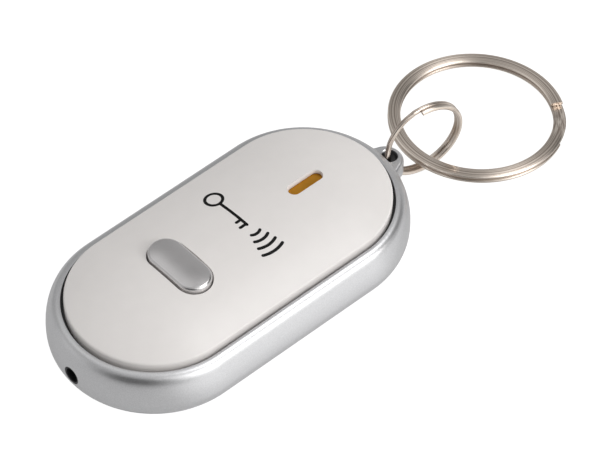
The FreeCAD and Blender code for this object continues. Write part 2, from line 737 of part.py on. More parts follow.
def contact(x, side):
    """Springy strip from the board's underside down to one cell's top face."""
    low_z = CELL_Z + CELL_H
    t = CONTACT_T
    pad = x + side * CONTACT_PAD
    run = x + side * CONTACT_RUN
    tip = x - side * CONTACT_TIP
    toe = x - side * CONTACT_TOE
    heel = x - side * CONTACT_HEEL
    points = [(run, BOARD_Z), (pad, BOARD_Z), (tip, low_z + t + CONTACT_KNEE), (tip, low_z + CONTACT_KNEE),
              (toe, low_z), (heel, low_z), (pad, BOARD_Z - t), (run, BOARD_Z - t)]
    corners = [V(px, -CONTACT_W / 2, pz) for px, pz in points]
    face = Part.Face(Part.makePolygon(corners + corners[:1]))
    return face.extrude(V(0, CONTACT_W, 0))


def battery_door():
    """Flush door with a boss and a counterbore for its screw."""
    plate = door_pill(DOOR_R, 0, DOOR_T)
    plate = plate.makeChamfer(DOOR_CHAMFER, level_edges(plate, 0))
    boss = cyl(DOOR_BOSS_R, DOOR_T - SINK, DOOR_BOSS_TOP_Z, DOOR_SCREW_X)
    return fused([plate, boss]).cut(screw_seat(DOOR_SCREW_X, 0))


def battery_bridge():
    """Nickel strip on the door that joins the two cells."""
    return pill(BRIDGE_W / 2, -BRIDGE_REACH, 0, BRIDGE_REACH, 0, DOOR_T, DOOR_T + BRIDGE_T)


def chip_boxes(spots, length, width, height):
    """Small surface-mount blocks standing on the board."""
    blocks = []
    for x, y in spots:
        blocks.append(box(x - length / 2, x + length / 2, y - width / 2, y + width / 2,
                          BOARD_TOP_Z, BOARD_TOP_Z + height))
    return Part.makeCompound(blocks)


def controller_chip():
    """Black resin blob over the bare controller die."""
    ball_r = (RESIN_R ** 2 + RESIN_H ** 2) / (2 * RESIN_H)
    ball = Part.makeSphere(ball_r, V(RESIN_X, RESIN_Y, BOARD_TOP_Z + RESIN_H - ball_r))
    return ball.common(cyl(RESIN_R + TOL, BOARD_TOP_Z, CROWN_Z, RESIN_X, RESIN_Y))


def drive_transistor():
    """Three-legged surface-mount transistor."""
    x = TRANSISTOR_X
    y = TRANSISTOR_Y
    half_x, half_y = TRANSISTOR_HALF
    body = box(x - half_x, x + half_x, y - half_y, y + half_y, BOARD_TOP_Z + TRANSISTOR_LOW,
               BOARD_TOP_Z + TRANSISTOR_HIGH)
    wide, deep = FOOT_HALF
    legs = []
    for dx, dy in FOOT_SPOTS:
        legs.append(box(x + dx - wide, x + dx + wide, y + dy - deep, y + dy + deep,
                        BOARD_TOP_Z, BOARD_TOP_Z + FOOT_T))
    return fused([body] + legs)


def step_up_coil():
    """Small drum coil for driving the sounder."""
    top_z = BOARD_TOP_Z + COIL_H
    return fused([cyl(COIL_RIM_R, BOARD_TOP_Z, BOARD_TOP_Z + COIL_RIM_T, COIL_X, COIL_Y),
                  cyl(COIL_CORE_R, BOARD_TOP_Z, top_z, COIL_X, COIL_Y),
                  cyl(COIL_RIM_R, top_z - COIL_RIM_T, top_z, COIL_X, COIL_Y)])


def microphone():
    """Electret microphone can and the felt disc on its face."""
    top_z = BOARD_TOP_Z + MIC_H
    can = cyl(MIC_R, BOARD_TOP_Z, top_z, MIC_X, MIC_Y)
    can = can.makeFillet(MIC_FILLET, level_edges(can, top_z))
    return can, cyl(FELT_R, top_z, top_z + FELT_T, MIC_X, MIC_Y)


def wire(points, radius):
    """Insulated lead along a smooth curve."""
    curve = Part.BSplineCurve()
    down = V(0, 0, -1)
    curve.interpolate(Points=[V(*p) for p in points], InitialTangent=down, FinalTangent=down)
    path = Part.Wire([curve.toShape()])
    section = Part.Wire([Part.makeCircle(radius, V(*points[0]), down)])
    return path.makePipeShell([section], True, True)


def solder_joints():
    """Small cones of solder on the board's pads, clear of what they hold."""
    cones = []
    low_r, top_r, height = LEG_SOLDER
    for x, y in leg_spots():
        cone = Part.makeCone(low_r, top_r, height, V(x, y, BOARD_Z - height), Z)
        cones.append(cone.cut(switch_leg(x, y)))
    low_r, top_r, height = LEAD_SOLDER
    for y in (-LED_LEAD_Y, LED_LEAD_Y):
        cone = Part.makeCone(low_r, top_r, height, V(LED_LEAD_X, y, BOARD_TOP_Z), Z)
        cones.append(cone.cut(cyl(LED_LEAD_R, BOARD_Z, CROWN_Z, LED_LEAD_X, y)))
    return Part.makeCompound(cones)


def signed_power(value):
    """Value raised to the superellipse exponent, keeping its sign."""
    return math.copysign(abs(value) ** (2 / WIRE_SUPER_N), value)


def ring_section(centre, radial, normal, width, thick):
    """Flattened-oval wire section, width along the radius and thickness along the ring's axis."""
    points = []
    for step in range(SECTION_STEPS):
        angle = 2 * math.pi * step / SECTION_STEPS
        u = width / 2 * signed_power(math.cos(angle))
        v = thick / 2 * signed_power(math.sin(angle))
        points.append(centre.add(V(radial).multiply(u)).add(V(normal).multiply(v)))
    curve = Part.BSplineCurve()
    curve.interpolate(Points=points, PeriodicFlag=True)
    return Part.Wire([curve.toShape()])


def split_ring(centre, normal, aim, hand, radius, width, thick, gap, ramp_deg):
    """Two flat turns of wire joined by one rising strand, which is centred on the direction aim."""
    n = V(normal).normalize()
    e1 = aim.sub(V(n).multiply(aim.dot(n))).normalize()
    e2 = n.cross(e1).multiply(hand)
    lift = (thick + gap) / 2
    half = math.radians(ramp_deg) / 2
    axis = V(n).multiply(hand)

    def at(angle, height):
        radial = V(e1).multiply(math.cos(angle)).add(V(e2).multiply(math.sin(angle)))
        return centre.add(V(radial).multiply(radius)).add(V(n).multiply(height)), radial

    pieces = []
    for height in (-lift, lift):
        spot, radial = at(half, height)
        face = Part.Face(ring_section(spot, radial, n, width, thick))
        pieces.append(face.revolve(centre, axis, 360 - ramp_deg))
    points = []
    for step in range(RAMP_STEPS + 1):
        share = step / RAMP_STEPS
        height = lift * (6 * share ** 2 - 4 * share ** 3 - 1)
        points.append(at(half * (2 * share - 1), height)[0])
    first = at(-half, -lift)[1]
    last = at(half, lift)[1]
    curve = Part.BSplineCurve()
    curve.interpolate(Points=points, InitialTangent=axis.cross(first), FinalTangent=axis.cross(last))
    sweep = Part.BRepOffsetAPI.MakePipeShell(Part.Wire([curve.toShape()]))
    sweep.setBiNormalMode(n)
    sweep.add(ring_section(points[0], first, n, width, thick))
    sweep.build()
    sweep.makeSolid()
    return fused(pieces + [sweep.shape()])


def save_case():
    """Frame, covers, their screws and the push button."""
    save("case_frame", case_frame())
    save("back_cover", back_cover())
    save("top_cover", top_cover())
    save("case_screws", screws(PILLAR_SPOTS, HEAD_SINK, CASE_SCREW_TIP_Z))
    save("button_cap", button_cap())


def save_board():
    """Circuit board and what is soldered or screwed to it."""
    save("circuit_board", circuit_board())
    save("board_screws", screws(POST_SPOTS, BOARD_Z - HEAD_T, BOARD_SCREW_TIP_Z))
    save("controller_chip", controller_chip())
    save("chip_resistors", chip_boxes(RESISTOR_SPOTS, CHIP_LONG, CHIP_SHORT, RESISTOR_H))
    save("chip_capacitors", chip_boxes(CAPACITOR_SPOTS, CHIP_SHORT, CHIP_LONG, CAPACITOR_H))
    save("drive_transistor", drive_transistor())
    save("step_up_coil", step_up_coil())
    can, felt = microphone()
    save("microphone_can", can)
    save("microphone_felt", felt)
    save("solder_joints", solder_joints())
    save("switch_base", switch_base())
    save("switch_plate", switch_plate())
    save("switch_legs", switch_legs())
    save("switch_stem", switch_stem())
    save("switch_dome", switch_dome())


def save_torch():
    """Torch lamp, its sleeve and leads."""
    save("led_sleeve", led_sleeve())
    save("led_lens", led_lens())
    save("led_leads", led_leads())


def save_sounder():
    """Sounder disc glued under the slot, its ceramic face and two wires."""
    glue = cyl(DISC_R, SOUNDER_Z + DISC_T, POCKET_Z, SLOT_X)
    save("sounder_glue_ring", glue.cut(cyl(GLUE_IN_R, SOUNDER_Z, POCKET_Z, SLOT_X)))
    save("sounder_disc", cyl(DISC_R, SOUNDER_Z, SOUNDER_Z + DISC_T, SLOT_X))
    save("sounder_ceramic", cyl(CERAMIC_R, SOUNDER_Z - CERAMIC_T, SOUNDER_Z, SLOT_X))
    save("sounder_wire_red", wire(RED_WIRE, WIRE_R))
    save("sounder_wire_black", wire(BLACK_WIRE, WIRE_R))


def save_batteries():
    """Two button cells, their contacts, and the door with its bridge strip and screw."""
    pairs = zip(cell_parts(CELL_X, True), cell_parts(-CELL_X, False))
    for name, pair in zip(("cell_cans", "cell_gaskets", "cell_caps"), pairs):
        save(name, Part.makeCompound(list(pair)))
    save("positive_contact", contact(CELL_X, 1))
    save("negative_contact", contact(-CELL_X, -1))
    save("battery_door", battery_door())
    save("battery_bridge", battery_bridge())
    save("door_screw", screw(DOOR_SCREW_X, 0, HEAD_SINK, DOOR_SCREW_TIP_Z))


def save_rings():
    """Small split ring through the lug and large key ring through the small one."""
    save("small_split_ring", split_ring(SMALL_CENTRE, SMALL_NORMAL, SMALL_AIM, 1, SMALL_R, SMALL_WIRE_W,
                                        SMALL_WIRE_T, SMALL_GAP, SMALL_RAMP))
    save("large_split_ring", split_ring(LARGE_CENTRE, LARGE_NORMAL, LARGE_AIM, -1, LARGE_R, LARGE_WIRE_W,
                                        LARGE_WIRE_T, LARGE_GAP, LARGE_RAMP))


def build():
    """Make every node and write it out."""
    os.makedirs("parts", exist_ok=True)
    save_case()
    save_board()
    save_torch()
    save_sounder()
    save_batteries()
    save_rings()


build()
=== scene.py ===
import json
import math

import bmesh
import bpy
from mathutils import Matrix, Vector
from mathutils.bvhtree import BVHTree


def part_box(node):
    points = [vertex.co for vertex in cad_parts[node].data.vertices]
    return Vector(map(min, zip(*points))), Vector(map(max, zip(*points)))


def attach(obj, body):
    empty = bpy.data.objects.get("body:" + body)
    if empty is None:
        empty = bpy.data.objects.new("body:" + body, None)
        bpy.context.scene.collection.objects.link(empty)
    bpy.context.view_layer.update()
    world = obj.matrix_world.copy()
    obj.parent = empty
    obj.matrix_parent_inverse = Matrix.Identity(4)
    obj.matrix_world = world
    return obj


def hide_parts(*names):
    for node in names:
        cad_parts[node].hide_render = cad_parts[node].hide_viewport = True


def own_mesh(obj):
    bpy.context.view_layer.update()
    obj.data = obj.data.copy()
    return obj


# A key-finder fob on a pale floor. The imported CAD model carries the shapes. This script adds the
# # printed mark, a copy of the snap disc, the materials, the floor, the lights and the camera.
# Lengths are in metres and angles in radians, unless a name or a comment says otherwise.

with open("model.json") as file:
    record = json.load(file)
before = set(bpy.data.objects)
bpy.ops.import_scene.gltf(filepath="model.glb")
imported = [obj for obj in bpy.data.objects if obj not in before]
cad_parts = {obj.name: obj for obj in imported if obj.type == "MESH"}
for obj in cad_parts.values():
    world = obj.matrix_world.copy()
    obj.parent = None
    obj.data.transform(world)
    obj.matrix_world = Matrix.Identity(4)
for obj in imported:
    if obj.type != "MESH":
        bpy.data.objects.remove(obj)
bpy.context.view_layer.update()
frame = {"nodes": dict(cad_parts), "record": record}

MM = 0.001
UP = Vector((0, 0, 1))

# --- camera: it looks from here at a point above the case's middle, then turns right and up by
# the two aims, which are tangents ---
VIEW_AZIMUTH = math.radians(-41.23)
VIEW_ELEVATION = math.radians(49.70)
VIEW_ROLL = math.radians(-0.32)
VIEW_DISTANCE = 589.1 * MM
AIM_HEIGHT = 0.5 * MM
AIM_RIGHT = 0.01787
AIM_UP = 0.01425
LENS_MM = 234.1
SENSOR_MM = 36.0
CLIP_START = 10 * MM

# --- studio surround: brightness at the horizon and overhead, then soft bright and dark patches
# (direction, inner and outer half-angle in degrees, gain) ---
HORIZON_LIGHT = 0.38
ZENITH_LIGHT = 0.48
BACKDROP_SEEN = 1.0
PATCHES = (
    ((0.20, -0.87, 0.45), 8, 32, 1.35),
    ((0.45, -0.15, 0.88), 10, 24, 1.2),
    ((-0.05, 0.50, 0.87), 8, 26, 0.35),
    ((0.55, 0.55, 0.63), 10, 34, -0.12),
    ((0.88, 0.42, 0.22), 12, 34, 0.16),
    ((-0.76, -0.46, 0.42), 12, 34, -0.60),
    ((-0.78, 0.60, 0.18), 10, 34, 0.28),
    ((0.76, -0.22, 0.60), 8, 26, -0.80),
    ((-0.08, -0.62, 0.78), 6, 20, 0.80),
)

# --- area lights: (name, place, target, size, power, colour) ---
LIGHTS = (
    ("high_side", (0.25, -0.12, 0.60), (0.02, 0, 0), (0.20, 0.20), 0.5, (1.0, 1.0, 1.0)),
    ("near_side", (0.20, -0.54, 0.34), (0.01, 0, 0), (0.30, 0.16), 0.9, (1.0, 0.985, 0.97)),
)

# --- floor: its glow depends on which way the light leaves it; the bright range is in cosines ---
FLOOR_REACH = 8.0
FLOOR_CLEARANCE = 0.02 * MM
FLOOR_CLOUDS = 6.0
FLOOR_TONES = ((0.3, (0.23, 0.23, 0.23)), (0.7, (0.25, 0.25, 0.25)))
FLOOR_ROUGHNESS = 0.9
FLOOR_GLOW = 0.96
FLOOR_GLOW_DIM = 0.39
FLOOR_GLOW_SEEN = 0.95
FLOOR_BRIGHT_SIDE = (-0.50, 0.86, 0.0)
FLOOR_BRIGHT_RANGE = (0.40, 0.85)
FLOOR_DARK_PATCH = ((-0.80, 0.45, 0.30), 8, 30, -0.35)
WHITE = (1.0, 1.0, 1.0, 1.0)

# --- moulded and metal surfaces in general ---
MOTTLE_STOPS = (0.3, 0.7)
FINE_STOPS = (0.35, 0.65)
MOTTLE_DETAIL = 4.0
DUST_DETAIL = 3.0
ROUGHNESS_SWING = 0.05
LEAST_ROUGHNESS = 0.02
COAT_ROUGHNESS = 0.06

# --- silver lacquer, and black painted onto the case frame as painted shade: in the lug hole, and
# # the ledge below the gap around the cover ---
SILVER = (0.66, 0.66, 0.67)
SILVER_METALLIC = 0.92
SILVER_ROUGHNESS = (0.30, 0.40)
FLAKE_SCALE = 5200.0
FLAKE_DETAIL = 3.0
FLAKE_CONTRAST = 0.7
FLAKE_TINT = 0.07
FLAKE_RELIEF = 0.004 * MM
FLAKE_RELIEF_SHARE = 0.5
# black painted in as shade, in the lug hole and low in the gap around the cover
PAINTED_SHADE_BLACK = (0.015, 0.015, 0.016, 1.0)
SHADE_HOLE_R = 1.26 * MM
SHADE_WALL_R = 13.91 * MM
SHADE_WALL_TOP = 9.05 * MM
SHADE_EDGE = 0.03 * MM
SHADE_TOP_EDGE = 4 * SHADE_EDGE

# --- ring wire ---
# drawn lines on the wire, coloured from a painted shade to a painted highlight of the metal
WIRE_LINE_PAINTED_SHADE = (0.40, 0.32, 0.27)
WIRE_LINE_PAINTED_HIGHLIGHT = (1.00, 0.91, 0.81)
WIRE_ROUGHNESS = (0.38, 0.28)
WIRE_ANISOTROPY = 0.92
QUARTER_TURN = 0.25
WIRE_LINE_SCALE = 4200.0
WIRE_LINE_DETAIL = 3.0
WIRE_RELIEF = 0.01 * MM
WIRE_RELIEF_SHARE = 0.4
SMALL_RING_AXIS = (0.168, 0.986, 0.021)

# --- printed mark, drawn in a plane with u across the case (+Y) and v along it (+X); a tooth is
# (u, length) and a wave is (radius, half its sweep in degrees) ---
MARK_STROKE = 0.49 * MM
MARK_HALF_THICK = 0.02 * MM
MARK_V = 2.85 * MM
BOW_U = 6.9 * MM
BOW_R = 1.35 * MM
SHAFT_END_U = -0.6 * MM
TEETH = ((-0.4 * MM, 1.15 * MM), (0.75 * MM, 0.9 * MM))
WAVE_SOURCE_U = -1.3 * MM
WAVES = ((1.5 * MM, 34), (2.8 * MM, 28), (4.1 * MM, 24), (5.4 * MM, 21))
BOW_STEPS = 40
TOOTH_STEPS = 4
ABOVE_ALL = 1.0


# ---------------------------------------------------------------- shader node helpers

GIVES_A_NUMBER = ("DOT_PRODUCT", "DISTANCE", "LENGTH")


def principled(name):
    """New node material; returns it with its node tree and shader node."""
    material = bpy.data.materials.new(name)
    material.use_nodes = True
    tree = material.node_tree
    return material, tree, tree.nodes["Principled BSDF"]


def object_coords(tree):
    """A point's place in its object's own coordinates, in metres."""
    return tree.nodes.new("ShaderNodeTexCoord").outputs["Object"]


def math_node(tree, operation, first, second):
    """Maths on a value output and a second output or number."""
    node = tree.nodes.new("ShaderNodeMath")
    node.operation = operation
    tree.links.new(first, node.inputs[0])
    if isinstance(second, (int, float)):
        node.inputs[1].default_value = second
    else:
        tree.links.new(second, node.inputs[1])
    return node.outputs["Value"]


def vector_math(tree, operation, first, second=None):
    """Maths on a vector output and a second output, a constant vector or nothing."""
    node = tree.nodes.new("ShaderNodeVectorMath")
    node.operation = operation
    tree.links.new(first, node.inputs[0])
    if isinstance(second, Vector):
        node.inputs[1].default_value = second
    elif second is not None:
        tree.links.new(second, node.inputs[1])
    return node.outputs["Value" if operation in GIVES_A_NUMBER else "Vector"]


def noise(tree, coords, scale, detail=2.0, roughness=0.5):
    """Noise from 0 to 1 over the given coordinates; the scale is in features per metre."""
    node = tree.nodes.new("ShaderNodeTexNoise")
    node.inputs["Scale"].default_value = scale
    node.inputs["Detail"].default_value = detail
    node.inputs["Roughness"].default_value = roughness
    tree.links.new(coords, node.inputs["Vector"])
    return node.outputs["Fac"]


def ramp(tree, source, stops):
    """Colour ramp over a value output, with two stops of (position, rgb)."""
    node = tree.nodes.new("ShaderNodeValToRGB")
    tree.links.new(source, node.inputs["Fac"])
    for element, (position, rgb) in zip(node.color_ramp.elements, stops):
        element.position = position
        element.color = (*rgb, 1.0)
    return node.outputs["Color"]


def remap(tree, source, start, end, low, high, kind="LINEAR"):
    """Changes from low to high as the source passes from start to end, and holds still beyond."""
    node = tree.nodes.new("ShaderNodeMapRange")
    node.interpolation_type = kind
    ends = {"From Min": start, "From Max": end, "To Min": low, "To Max": high}
    for socket, value in ends.items():
        node.inputs[socket].default_value = value
    tree.links.new(source, node.inputs["Value"])
    return node.outputs["Result"]


def soft_step(tree, source, start, end, low, high):
    """The same as remap, with soft ends."""
    return remap(tree, source, start, end, low, high, "SMOOTHSTEP")


def facing(tree, coords, direction):
    """Cosine between a direction output and a given direction."""
    return vector_math(tree, "DOT_PRODUCT", coords, Vector(direction).normalized())


def soft_patch(tree, coords, direction, inner, outer, gain):
    """The gain within the inner half-angle of a direction, fading to none at the outer one."""
    edge = math.cos(math.radians(outer))
    core = math.cos(math.radians(inner))
    return soft_step(tree, facing(tree, coords, direction), edge, core, 0.0, gain)


def camera_sees(tree, value, shown):
    """A value output for light and reflections, but a fixed number where the camera looks at it."""
    mix = tree.nodes.new("ShaderNodeMix")
    path = tree.nodes.new("ShaderNodeLightPath")
    tree.links.new(path.outputs["Is Camera Ray"], mix.inputs["Factor"])
    tree.links.new(value, mix.inputs["A"])
    mix.inputs["B"].default_value = shown
    return mix.outputs["Result"]


def mixed_colour(tree, share, first, second):
    """Mix of a colour output and a fixed colour, by a 0..1 output."""
    node = tree.nodes.new("ShaderNodeMix")
    node.data_type = "RGBA"
    sockets = {socket.identifier: socket for socket in node.inputs}
    tree.links.new(share, sockets["Factor_Float"])
    tree.links.new(first, sockets["A_Color"])
    sockets["B_Color"].default_value = second
    return next(socket for socket in node.outputs if socket.identifier == "Result_Color")


def bump(tree, shader, source, distance, strength=1.0):
    """Surface relief of the given height in metres."""
    node = tree.nodes.new("ShaderNodeBump")
    node.inputs["Strength"].default_value = strength
    node.inputs["Distance"].default_value = distance
    tree.links.new(source, node.inputs["Height"])
    tree.links.new(node.outputs["Normal"], shader.inputs["Normal"])


def shades(rgb, amount):
    """Slightly darker and slightly lighter version of a colour."""
    darker = tuple(c * (1 - amount) for c in rgb)
    lighter = tuple(min(1.0, c * (1 + amount)) for c in rgb)
    return darker, lighter


# ---------------------------------------------------------------- materials

def surface(name, rgb, rough, metallic=0.0, coat=0.0, grain=400.0, vary=0.04, relief=0.0,
            fine=4000.0, shine=0.5):
    """Moulded or metal surface with mottled colour, uneven roughness and fine relief."""
    material, tree, shader = principled(name)
    coords = object_coords(tree)
    cloud = noise(tree, coords, grain, MOTTLE_DETAIL)
    dust = noise(tree, coords, fine, DUST_DETAIL)
    colour = ramp(tree, cloud, zip(MOTTLE_STOPS, shades(rgb, vary)))
    smoothest = max(LEAST_ROUGHNESS, rough - ROUGHNESS_SWING)
    uneven = remap(tree, dust, 0.0, 1.0, smoothest, rough + ROUGHNESS_SWING)
    tree.links.new(colour, shader.inputs["Base Color"])
    tree.links.new(uneven, shader.inputs["Roughness"])
    shader.inputs["Metallic"].default_value = metallic
    shader.inputs["Specular IOR Level"].default_value = shine
    shader.inputs["Coat Weight"].default_value = coat
    shader.inputs["Coat Roughness"].default_value = COAT_ROUGHNESS
    if relief:
        bump(tree, shader, dust, relief)
    return material


def silver_paint(name, shade_mask=None):
    """Satin silver lacquer with fine metal flake; the shade mask paints black shade over it."""
    material, tree, shader = principled(name)
    flakes = noise(tree, object_coords(tree), FLAKE_SCALE, FLAKE_DETAIL, FLAKE_CONTRAST)
    colour = ramp(tree, flakes, zip(FINE_STOPS, shades(SILVER, FLAKE_TINT)))
    shader.inputs["Metallic"].default_value = SILVER_METALLIC
    if shade_mask:
        painted_shade = shade_mask(tree)
        # painted shade: black mixed into the silver where the mask is one
        colour = mixed_colour(tree, painted_shade, colour, PAINTED_SHADE_BLACK)
        metal = soft_step(tree, painted_shade, 0.0, 1.0, SILVER_METALLIC, 0.0)
        tree.links.new(metal, shader.inputs["Metallic"])
    tree.links.new(colour, shader.inputs["Base Color"])
    uneven = remap(tree, flakes, 0.0, 1.0, *SILVER_ROUGHNESS)
    tree.links.new(uneven, shader.inputs["Roughness"])
    bump(tree, shader, flakes, FLAKE_RELIEF, FLAKE_RELIEF_SHARE)
    return material


def frame_painted_shade_mask(tree):
    """Painted shade: one inside the lug hole and low on the frame's inner wall, zero elsewhere."""
    coords = object_coords(tree)
    flat = vector_math(tree, "MULTIPLY", coords, Vector((1, 1, 0)))

    joints = frame["record"]["behaviour"]["joints"]
    swing = next(joint for joint in joints if joint["name"] == "small_ring_swing")
    hole = Vector((swing["pos_m"][0], swing["pos_m"][1], 0))
    from_hole = vector_math(tree, "DISTANCE", flat, hole)
    in_hole = soft_step(tree, from_hole, SHADE_HOLE_R + SHADE_EDGE, SHADE_HOLE_R, 0.0, 1.0)

    # The wall is a stadium: its radius is measured from the line between its two end centres.
    low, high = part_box("top_cover")
    half_run = (high[0] - low[0] - high[1] + low[1]) / 2
    positive = vector_math(tree, "ABSOLUTE", flat)
    beyond = vector_math(tree, "SUBTRACT", positive, Vector((half_run, 0, 0)))
    outside = vector_math(tree, "MAXIMUM", beyond, Vector((0, 0, 0)))
    reach = vector_math(tree, "LENGTH", outside)
    in_wall = soft_step(tree, reach, SHADE_WALL_R + SHADE_EDGE, SHADE_WALL_R, 0.0, 1.0)
    height = vector_math(tree, "DOT_PRODUCT", coords, UP)
    deep = soft_step(tree, height, SHADE_WALL_TOP, SHADE_WALL_TOP - SHADE_TOP_EDGE, 0.0, 1.0)
    return math_node(tree, "MAXIMUM", in_hole, math_node(tree, "MULTIPLY", in_wall, deep))


def drawn_wire(name, centre, normal):
    """Plated ring wire with fine lines around the ring, which stretch the highlights across it; the
    lines' colours run from painted shade to painted highlight.
    """
    material, tree, shader = principled(name)
    axis = Vector(normal)
    offset = vector_math(tree, "SUBTRACT", object_coords(tree), Vector(centre))
    height = vector_math(tree, "DOT_PRODUCT", offset, axis)
    outward = vector_math(tree, "SUBTRACT", offset, vector_math(tree, "PROJECT", offset, axis))
    section = tree.nodes.new("ShaderNodeCombineXYZ")
    tree.links.new(vector_math(tree, "LENGTH", outward), section.inputs["X"])
    tree.links.new(height, section.inputs["Y"])
    lines = noise(tree, section.outputs["Vector"], WIRE_LINE_SCALE, WIRE_LINE_DETAIL)
    # the lines run from a painted shade to a painted highlight of the metal
    colour = ramp(tree, lines, zip(FINE_STOPS, (WIRE_LINE_PAINTED_SHADE, WIRE_LINE_PAINTED_HIGHLIGHT)))
    tree.links.new(colour, shader.inputs["Base Color"])
    uneven = remap(tree, lines, 0.0, 1.0, *WIRE_ROUGHNESS)
    tree.links.new(uneven, shader.inputs["Roughness"])
    shader.inputs["Metallic"].default_value = 1.0
    around = vector_math(tree, "CROSS_PRODUCT", outward, axis)
    tree.links.new(vector_math(tree, "NORMALIZE", around), shader.inputs["Tangent"])
    shader.inputs["Anisotropic"].default_value = WIRE_ANISOTROPY
    shader.inputs["Anisotropic Rotation"].default_value = QUARTER_TURN
    bump(tree, shader, lines, WIRE_RELIEF, WIRE_RELIEF_SHARE)
    return material


# Each material slot's look, as arguments of surface(); silver_paint has its own function.
LOOKS = {
    "white_plastic": dict(rgb=(0.825, 0.795, 0.775), rough=0.30, vary=0.01,
                          relief=0.0006 * MM, shine=0.4),
    "grey_button": dict(rgb=(0.66, 0.645, 0.645), rough=0.22, metallic=0.85, coat=0.2, vary=0.03),
    "screw_steel": dict(rgb=(0.55, 0.55, 0.54), rough=0.28, metallic=1.0, vary=0.08),
    "board_green": dict(rgb=(0.03, 0.17, 0.06), rough=0.35, grain=900.0, vary=0.25,
                        relief=0.002 * MM),
    "black_resin": dict(rgb=(0.012, 0.012, 0.013), rough=0.25, vary=0.2),
    "chip_black": dict(rgb=(0.02, 0.02, 0.021), rough=0.5, vary=0.2, relief=0.002 * MM),
    "chip_tan": dict(rgb=(0.42, 0.27, 0.13), rough=0.45, vary=0.12),
    "ferrite": dict(rgb=(0.05, 0.05, 0.055), rough=0.6, vary=0.2, relief=0.004 * MM),
    "can_aluminium": dict(rgb=(0.72, 0.72, 0.73), rough=0.3, metallic=1.0),
    "felt_black": dict(rgb=(0.02, 0.02, 0.02), rough=0.95, vary=0.4, relief=0.03 * MM,
                       fine=9000.0),
    "solder": dict(rgb=(0.62, 0.62, 0.63), rough=0.2, metallic=1.0),
    "switch_black": dict(rgb=(0.010, 0.010, 0.011), rough=0.45, vary=0.2),
    "spring_steel": dict(rgb=(0.60, 0.60, 0.60), rough=0.25, metallic=1.0),
    "clear_lamp": dict(rgb=(0.75, 0.80, 0.85), rough=0.08, vary=0.02),
    "glue_amber": dict(rgb=(0.55, 0.42, 0.20), rough=0.5, vary=0.1),
    "brass": dict(rgb=(0.55, 0.25, 0.02), rough=0.35, metallic=0.75, vary=0.12,
                  relief=0.002 * MM),
    "ceramic_white": dict(rgb=(0.7, 0.7, 0.66), rough=0.5),
    "wire_red": dict(rgb=(0.5, 0.02, 0.015), rough=0.45),
    "wire_black": dict(rgb=(0.015, 0.015, 0.015), rough=0.45),
    "nickel": dict(rgb=(0.66, 0.615, 0.565), rough=0.13, metallic=1.0, vary=0.03),
    "gasket_nylon": dict(rgb=(0.10, 0.16, 0.30), rough=0.5),
    "stem_white": dict(rgb=(0.7, 0.7, 0.67), rough=0.5),
    "mark_ink": dict(rgb=(0.006, 0.006, 0.006), rough=0.55, vary=0.3, shine=0.15),
}
MATERIALS = {name: surface(name, **look) for name, look in LOOKS.items()}
MATERIALS["silver_paint"] = silver_paint("silver_paint")


def dress_cad_nodes():
    """Gives every CAD node its record slot's material; the frame and the rings have their own."""
    slots = {row["node"]: row["material_slot"] for row in frame["record"]["subparts"]}
    finishes = {name: MATERIALS[slots[name]] for name in frame["nodes"]}
    # the frame's silver carries painted shade in the lug hole and the gap around the cover
    finishes["case_frame"] = silver_paint("frame_paint_and_painted_shade", frame_painted_shade_mask)
    low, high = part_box("small_split_ring")
    middle = (Vector(low) + Vector(high)) / 2
    small_axis = Vector(SMALL_RING_AXIS).normalized()
    finishes["small_split_ring"] = drawn_wire("small_ring_nickel", middle, small_axis)
    mounts = frame["record"]["mounts"]
    key_ring = next(mount for mount in mounts if mount["name"] == "key_ring")
    large_wire = drawn_wire("large_ring_nickel", key_ring["pos_m"], key_ring["axis"])
    finishes["large_split_ring"] = large_wire
    for name, node in frame["nodes"].items():
        node.data.materials.clear()
        node.data.materials.append(finishes[name])


# ---------------------------------------------------------------- printed mark

def new_object(name, mesh):
    """Scene object from a finished bmesh, which is freed."""
    data = bpy.data.meshes.new(name)
    mesh.to_mesh(data)
    mesh.free()
    piece = bpy.data.objects.new(name, data)
    bpy.context.scene.collection.objects.link(piece)
    return piece


def surface_height(tree, x, y):
    """Height of a shape's top surface at (x, y), met by a ray cast down from above it all."""
    return tree.ray_cast(Vector((x, y, ABOVE_ALL)), -UP)[0].z


def arc(centre, radius, start_deg, end_deg, steps=24):
    """Points along an arc in the mark's plane."""
    points = []
    for k in range(steps + 1):
        angle = math.radians(start_deg + (end_deg - start_deg) * k / steps)
        points.append(centre + Vector((math.cos(angle), math.sin(angle))) * radius)
    return points


def straight(a, b, steps=16):
    """Evenly spaced points along a straight stroke."""
    return [a.lerp(b, k / steps) for k in range(steps + 1)]


def round_cap(centre, start, steps=6):
    """Points of a half turn around a stroke's end, clockwise, without its first and last."""
    turns = (-math.pi * k / (steps + 1) for k in range(1, steps + 1))
    return [centre + Matrix.Rotation(turn, 2) @ start for turn in turns]


def ribbon(points, width):
    """Outline in the plane of a stroke with round ends: left side, right side, end and begin caps."""
    half = width / 2
    left, right = [], []
    for i, p in enumerate(points):
        a = points[max(0, i - 1)]
        b = points[min(len(points) - 1, i + 1)]
        along = (b - a).normalized()
        side = Vector((-along.y, along.x)) * half
        left.append(p + side)
        right.append(p - side)
    end = round_cap(points[-1], left[-1] - points[-1])
    begin = round_cap(points[0], right[0] - points[0])
    return {"left": left, "right": right, "end": end, "begin": begin}


